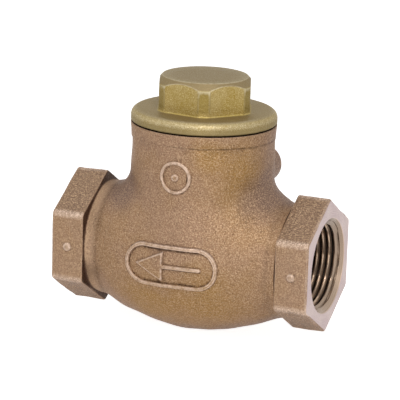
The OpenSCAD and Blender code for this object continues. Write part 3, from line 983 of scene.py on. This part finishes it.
grain, grain_in, grain_out = new_group(
    "sand grain", {"Grain Size": 0.4, "Lump Size": 1.2, "Blotch Size": 9.0},
    ["Height", "Light Grains", "Blotch", "Pits"])
fine = noise_at(grain, grain_in["Grain Size"], 2.0, 0.6)
lumps = noise_at(grain, grain_in["Lump Size"], 2.0, 0.5)
patches = noise_at(grain, grain_in["Blotch Size"], 3.0, 0.55)
pit_scale = maths(grain, "DIVIDE", 1 / MM / PITS_APART, grain_in["Grain Size"])
cells = add(grain, "TexVoronoi", {"feature": "F1"}, Vector=own_place(grain), Scale=pit_scale)
pits = span(grain, cells.outputs["Distance"], 0.30, 0.08)
height = maths(grain, "ADD", times(grain, fine, 0.5), times(grain, lumps, 0.8))
height = maths(grain, "SUBTRACT", height, times(grain, pits, 0.25))
fill(grain, grain_out, Height=height, Light_Grains=span(grain, fine, 0.42, 0.68),
     Blotch=span(grain, patches, 0.35, 0.65), Pits=pits)
print("the sand group has", len(grain.nodes), "nodes")

# %% [markdown]
# Worn edges and painted shade in corners
#
# The two attributes say where edges and corners are. A worn edge isn't an even line, so noise
# breaks the mask up before a material uses it. The group gives two masks, one for bright edges,
# which are partly wear and partly a painted highlight, and one for corners, which the casting
# paints dark as painted shade.

# %% Group for bright edges and shaded corners
wear, wear_in, wear_out = new_group(
    "wear", {"Edge Amount": 1.0, "Corner Amount": 1.0, "Break Size": 1.5}, ["Edges", "Corners"])
breaks = noise_at(wear, wear_in["Break Size"], 2.0, 0.6)
broken = span(wear, breaks, 0.3, 0.6, 0.35, 1.0)
edges = times(wear, span(wear, attribute(wear, "edge"), 0.12, 0.75), broken)
corners = times(wear, span(wear, attribute(wear, "corner"), 0.1, 0.7), broken)
fill(wear, wear_out,
     Edges=maths(wear, "MULTIPLY", edges, wear_in["Edge Amount"], clamp=True),
     Corners=maths(wear, "MULTIPLY", corners, wear_in["Corner Amount"], clamp=True))
print("the wear group has", len(wear.nodes), "nodes")

# %% [markdown]
# Cast and cleaned bronze
#
# After the sand is knocked off, the casting is blasted and keeps a dull, warm tan with a metal
# gleam under it. A fully metallic shader would mirror the white studio and look plated. So the
# shader is a little under half metal, as a film of oxide leaves it. Then each mask is one thin coat
# over the last: golden spots, grey painted shade where the skin faces sideways or down, the strip
# painted paler as painted light, light grains, dark pits, painted shade in the corners and by the
# hexagons, bright edges that are partly worn and partly a painted highlight, and the inside of each
# mouth painted dark as painted shade. The grain stands higher on the hexagons. A thin uneven crease
# runs round the neck under the lip: a narrow band of heights, which noise bends and breaks up, and
# its groove is painted dark as painted shade.

# %% Cast bronze
SEAM_Z = 34.5
SEAM_WOBBLE = 0.8
cast_bronze, tree, shader = new_material("cast bronze")
sand = place_group(tree, grain, Grain_Size=0.36, Lump_Size=0.9, Blotch_Size=13.0)
rough_sand = place_group(tree, grain, Grain_Size=0.44, Lump_Size=1.05, Blotch_Size=13.0)
worn = place_group(tree, wear, Edge_Amount=0.8, Corner_Amount=1.0)
coarse = attribute(tree, "coarse")
grains = blend_values(tree, coarse, sand["Light Grains"], rough_sand["Light Grains"])
relief = blend_values(tree, coarse, sand["Height"], rough_sand["Height"])
blotch = times(tree, sand["Blotch"], 0.35)
warm = maths(tree, "MULTIPLY_ADD", attribute(tree, "warm"), 0.9, blotch, clamp=True)
# Painted shade: grey and darker where the skin faces sideways or down and in the saddles.
patina = span(tree, attribute(tree, "patina"), 0.2, 1.1, 0.0, 0.75)
light = times(tree, grains, maths(tree, "MULTIPLY_ADD", coarse, 0.2, 0.58))
hollows = times(tree, maths(tree, "SUBTRACT", 1.0, grains), coarse)
dark = maths(tree, "MAXIMUM", times(tree, sand["Pits"], 0.3), times(tree, hollows, 0.45))
place = own_xyz(tree)
bent = maths(tree, "MULTIPLY_ADD", noise_at(tree, 12.0, 1.0), SEAM_WOBBLE * MM, place["Z"])
middle = (SEAM_Z + SEAM_WOBBLE / 2) * MM
off_seam = maths(tree, "ABSOLUTE", maths(tree, "SUBTRACT", bent, middle))
seam = times(tree, span(tree, off_seam, 0.35 * MM, 0.1 * MM),
             span(tree, place["X"], -46 * MM, -34 * MM, 0.15, 1.0))
seam = times(tree, seam, span(tree, noise_at(tree, 2.5, 1.0), 0.3, 0.6, 0.3, 1.0))
# Bright edges and corners of the hexagons: partly wear, partly a painted highlight.
ridge = times(tree, attribute(tree, "ridge"), span(tree, grains, 0, 1, 0.3, 0.9))
edges = maths(tree, "MAXIMUM", ridge, times(tree, worn["Edges"], 0.85))
skin = mix(tree, warm, tint(146, 115, 92), tint(149, 114, 66))
skin = coat(tree, skin, coarse, 0.6, (182, 153, 128))
skin = coat(tree, skin, patina, 1.0, (112, 90, 84))
# Painted light on the strip by the outlet's hexagon.
skin = coat(tree, skin, "band", 0.55, (190, 158, 130))
skin = coat(tree, skin, light, 1.0, (204, 172, 138))
skin = coat(tree, skin, dark, 1.0, (86, 62, 46))
# Painted shade in the corners of the casting.
skin = coat(tree, skin, worn["Corners"], 0.9, (62, 42, 34))
# Painted shade in the crease by each hexagon.
skin = coat(tree, skin, "crease", 0.85, (58, 38, 30))
# Painted shade in the groove of the crease round the neck; the relief below is a bump.
skin = coat(tree, skin, seam, 0.42, (58, 38, 30))
skin = coat(tree, skin, edges, 1.0, (228, 202, 182))
# Painted shade inside each mouth.
skin = coat(tree, skin, "depth", 1.0, (50, 38, 30))
relief = maths(tree, "MULTIPLY_ADD", seam, -0.5, relief)
fill(tree, shader, Base_Color=skin, Metallic=0.42,
     Normal=bumped(tree, relief, maths(tree, "MULTIPLY_ADD", coarse, 0.3 * MM, 0.3 * MM)),
     Roughness=span(tree, sand["Light Grains"], 0, 1, 0.5, 0.34),
     Specular_IOR_Level=0.3, Specular_Tint=tint(190, 170, 160))
print("cast bronze has", len(tree.nodes), "nodes")

# %% [markdown]
# Machined bronze
#
# The end faces, the seat and the threads are cut by tools, so they are paler and smoother, with
# fine rings from the lathe. The rings are noise stretched round the pipe axis: it reads the
# distance from the axis rather than the place. The end faces are pinker than the bores behind them,
# and the roots of the threads and the inside of the mouths are painted dark as painted shade, so
# that only the crests shine.

# %% Machined bronze
turned_bronze, tree, shader = new_material("machined bronze")
place = own_xyz(tree)
radius = maths(tree, "SQRT", maths(tree, "ADD", maths(tree, "POWER", place["Y"], 2.0),
                                   maths(tree, "POWER", place["Z"], 2.0)))
ring_place = add(tree, "CombineXYZ", X=place["X"], Y=radius)
rings = add(tree, "TexNoise", Vector=ring_place.outputs[0], Scale=4000.0, Detail=1.0).outputs["Fac"]
sand = place_group(tree, grain, Grain_Size=0.6, Lump_Size=2.0, Blotch_Size=7.0)
# Painted shade in the thread roots.
roots = span(tree, attribute(tree, "root"), 0.42, 0.95)
face = mix(tree, sand["Blotch"], tint(170, 148, 146), tint(180, 160, 155))
face = coat(tree, face, "bored", 1.0, (218, 190, 164))
face = coat(tree, face, roots, 1.0, (44, 35, 33))
# Painted shade inside each mouth.
face = coat(tree, face, "depth", 0.8, (60, 44, 30))
fill(tree, shader, Base_Color=face, Metallic=0.8, Normal=bumped(tree, rings, 0.03 * MM, 0.4),
     Roughness=span(tree, rings, 0.3, 0.7, 0.26, 0.4))
print("machined bronze has", len(tree.nodes), "nodes")

# %% [markdown]
# Brass
#
# The cap is brass, which has more zinc, so it is yellower than the body. Its flats have a fine
# grain, and its top, its bevel and its level faces are darker, partly as tarnish and partly as
# painted shade on the faces that look up, which the tarnish mask brings in. The round edge of the
# flange has a painted highlight and its lower side painted shade. Half of the shader is metal, for
# the same reason as on the casting.

# %% Brass of the cap
cap_brass, tree, shader = new_material("cap brass")
sand = place_group(tree, grain, Grain_Size=0.3, Lump_Size=0.8, Blotch_Size=8.0)
worn = place_group(tree, wear, Edge_Amount=1.0, Corner_Amount=1.0, Break_Size=1.0)
grains = sand["Light Grains"]
# Painted highlight on the round edge of the flange, broken by the grain.
rubbed = times(tree, attribute(tree, "rim"), span(tree, grains, 0, 1, 0.05, 0.55))
skin = mix(tree, sand["Blotch"], tint(152, 127, 64), tint(160, 137, 84))
skin = coat(tree, skin, grains, 0.5, (210, 194, 140))
# Tarnish and painted shade on the faces that look up.
skin = coat(tree, skin, "tarnish", 0.8, (140, 123, 93))
skin = coat(tree, skin, "turned", 0.7, (128, 108, 50))
skin = coat(tree, skin, worn["Corners"], 0.3, (214, 196, 116))
skin = coat(tree, skin, worn["Edges"], 0.6, (214, 202, 172))
# Painted shade on the lower side of the flange.
skin = coat(tree, skin, "low", 0.9, (132, 114, 72))
skin = coat(tree, skin, rubbed, 1.0, (214, 200, 170))
fill(tree, shader, Base_Color=skin, Metallic=0.5,
     Normal=bumped(tree, sand["Height"], 0.14 * MM),
     Roughness=span(tree, grains, 0, 1, 0.46, 0.32),
     Specular_IOR_Level=0.3, Specular_Tint=tint(196, 188, 170))

for piece, finishes in ((casting, [cast_bronze, turned_bronze]), (cap, [cap_brass])):
    piece.data.materials.clear()
    for finish in finishes:
        piece.data.materials.append(finish)
casting.data.polygons.foreach_set("material_index", machined.astype(np.int32))
print("casting and cap have", len(casting.data.materials) + len(cap.data.materials), "materials")

# %% [markdown]
# The small parts inside
#
# The arm, the disc and their fasteners are the CAD model's own solids, whose shapes are right
# already. They only need finishes: bright machined bronze and brass, drawn steel for the pin, and
# dark fibre for the gasket. One function makes each from a colour, a shine and the shared grain.

# %% Finishes of the CAD nodes
def small_finish(name, dark, light, metallic, roughness, bump_mm, grain_mm, gleam=0.5):
    """A material between two colours with the shared grain, for a node of the CAD model."""
    material, tree, shader = new_material(name)
    sand = place_group(tree, grain, Grain_Size=grain_mm, Lump_Size=grain_mm * 3,
                       Blotch_Size=grain_mm * 12)
    grains = sand["Light Grains"]
    colour = mix(tree, sand["Blotch"], tint(*dark), tint(*light))
    fill(tree, shader, Base_Color=coat(tree, colour, grains, 0.3, light), Metallic=metallic,
         Normal=bumped(tree, sand["Height"], bump_mm * MM),
         Roughness=span(tree, grains, 0, 1, roughness + 0.06, roughness - 0.04),
         Specular_IOR_Level=gleam)
    return material


arm_bronze = small_finish("arm bronze", (150, 112, 74), (186, 148, 106), 0.6, 0.5, 0.1, 0.35)
disc_bronze = small_finish("disc bronze", (176, 142, 104), (200, 168, 128), 0.85, 0.34, 0.02, 0.3)
small_brass = small_finish("small brass", (176, 146, 78), (206, 180, 112), 0.85, 0.32, 0.02, 0.3)
pin_steel = small_finish("pin steel", (150, 148, 144), (186, 184, 180), 0.9, 0.3, 0.01, 0.25)
gasket_fibre = small_finish("gasket fibre", (8, 4, 2), (20, 12, 6), 0.0, 0.9, 0.05, 0.3, 0.1)
finishes = {"hinge_arm": arm_bronze, "disc": disc_bronze, "disc_nut": small_brass,
            "disc_washer": small_brass, "split_pin": small_brass, "hinge_pin": pin_steel,
            "pin_plug": small_brass, "cap_gasket": gasket_fibre}
for name, finish in finishes.items():
    for slot in nodes[name].material_slots:
        slot.link = "OBJECT"
        slot.material = finish
print("finishes on", len(finishes), "CAD nodes")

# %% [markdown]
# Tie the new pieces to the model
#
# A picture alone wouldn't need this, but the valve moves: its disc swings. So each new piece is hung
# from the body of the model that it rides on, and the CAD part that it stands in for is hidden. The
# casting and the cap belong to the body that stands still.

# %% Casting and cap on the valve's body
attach(casting, "valve")
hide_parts("body")
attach(cap, "valve")
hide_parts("cap")
print("the casting replaces the body, and the screwed cap the cap")

# %% [markdown]
# White studio
#
# The valve stands on white paper in front of a white background. Lighting the floor until it clips
# would also flood the metal. So the floor and the world show white to the camera and in reflections
# only, and the floor's own shading stays under it to keep the shadow.

# %% Floor and world
FLOOR_SIZE = 3.0
FLOOR_GLOW = 0.88
AMBIENT = 0.24
WHITE = (1, 1, 1, 1)


def seen(tree):
    """One where the eye meets a thing, itself or mirrored or through glass, and zero where the
    thing only lights others."""
    rays = add(tree, "LightPath").outputs
    straight = maths(tree, "MAXIMUM", rays["Is Camera Ray"], rays["Is Glossy Ray"])
    return maths(tree, "MAXIMUM", straight, rays["Is Transmission Ray"])


world = bpy.data.worlds.new("studio")
bpy.context.scene.world = world
world.use_nodes = True
tree = world.node_tree
fill(tree, tree.nodes["Background"], Color=WHITE,
     Strength=maths(tree, "MULTIPLY_ADD", seen(tree), 1 - AMBIENT, AMBIENT))

floor_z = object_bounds()[0][2]
floor_mesh = bpy.data.meshes.new("floor")
corners = [(x * FLOOR_SIZE, y * FLOOR_SIZE, floor_z) for x, y in ((-1, -1), (1, -1), (1, 1), (-1, 1))]
floor_mesh.from_pydata(corners, [], [(0, 1, 2, 3)])
floor = put("floor", floor_mesh)
paper, tree, shader = new_material("white paper")
fill(tree, shader, Base_Color=(0.8, 0.8, 0.8, 1), Roughness=0.9, Specular_IOR_Level=0.0,
     Emission_Color=WHITE, Emission_Strength=times(tree, seen(tree), FLOOR_GLOW))
floor_mesh.materials.append(paper)
print("floor at", round(floor_z, 4))

# %% [markdown]
# Soft boxes
#
# Such a part is lit by wide soft boxes near the camera, so the front of each form is bright and its
# sides fall off. A low box and a smaller high one, both in front on the right, do most of the work,
# and the high one gives the gleam on the shoulder and on the edge of the flange. A weaker high one
# on the left and a box at each side open the shadows. Their power is set so that a colour renders
# about as it is written.

# %% Lamps
def lamp(name, turn, rise, distance, size, power):
    """A square soft lamp, placed by its turn from -Y towards +X and its rise, facing the valve."""
    turn, rise = math.radians(turn), math.radians(rise)
    aim = Vector(to_frame([0, 0, 8]))
    away = Vector((math.sin(turn) * math.cos(rise), -math.cos(turn) * math.cos(rise), math.sin(rise)))
    data = bpy.data.lights.new(name, "AREA")
    data.size = size
    data.energy = power
    facing = away.to_track_quat("Z", "Y").to_matrix().to_4x4()
    put(name, data).matrix_world = Matrix.Translation(aim + away * distance) @ facing


lamp("front box", 18, 14, 1.0, 0.5, 2.0)
lamp("high right box", 34, 50, 1.0, 0.25, 3.5)
lamp("high left box", -16, 50, 1.0, 0.25, 0.8)
lamp("right box", 80, 20, 1.1, 0.5, 1.0)
lamp("left box", -65, 25, 1.1, 0.5, 1.1)
bpy.context.scene.view_settings.view_transform = "Standard"
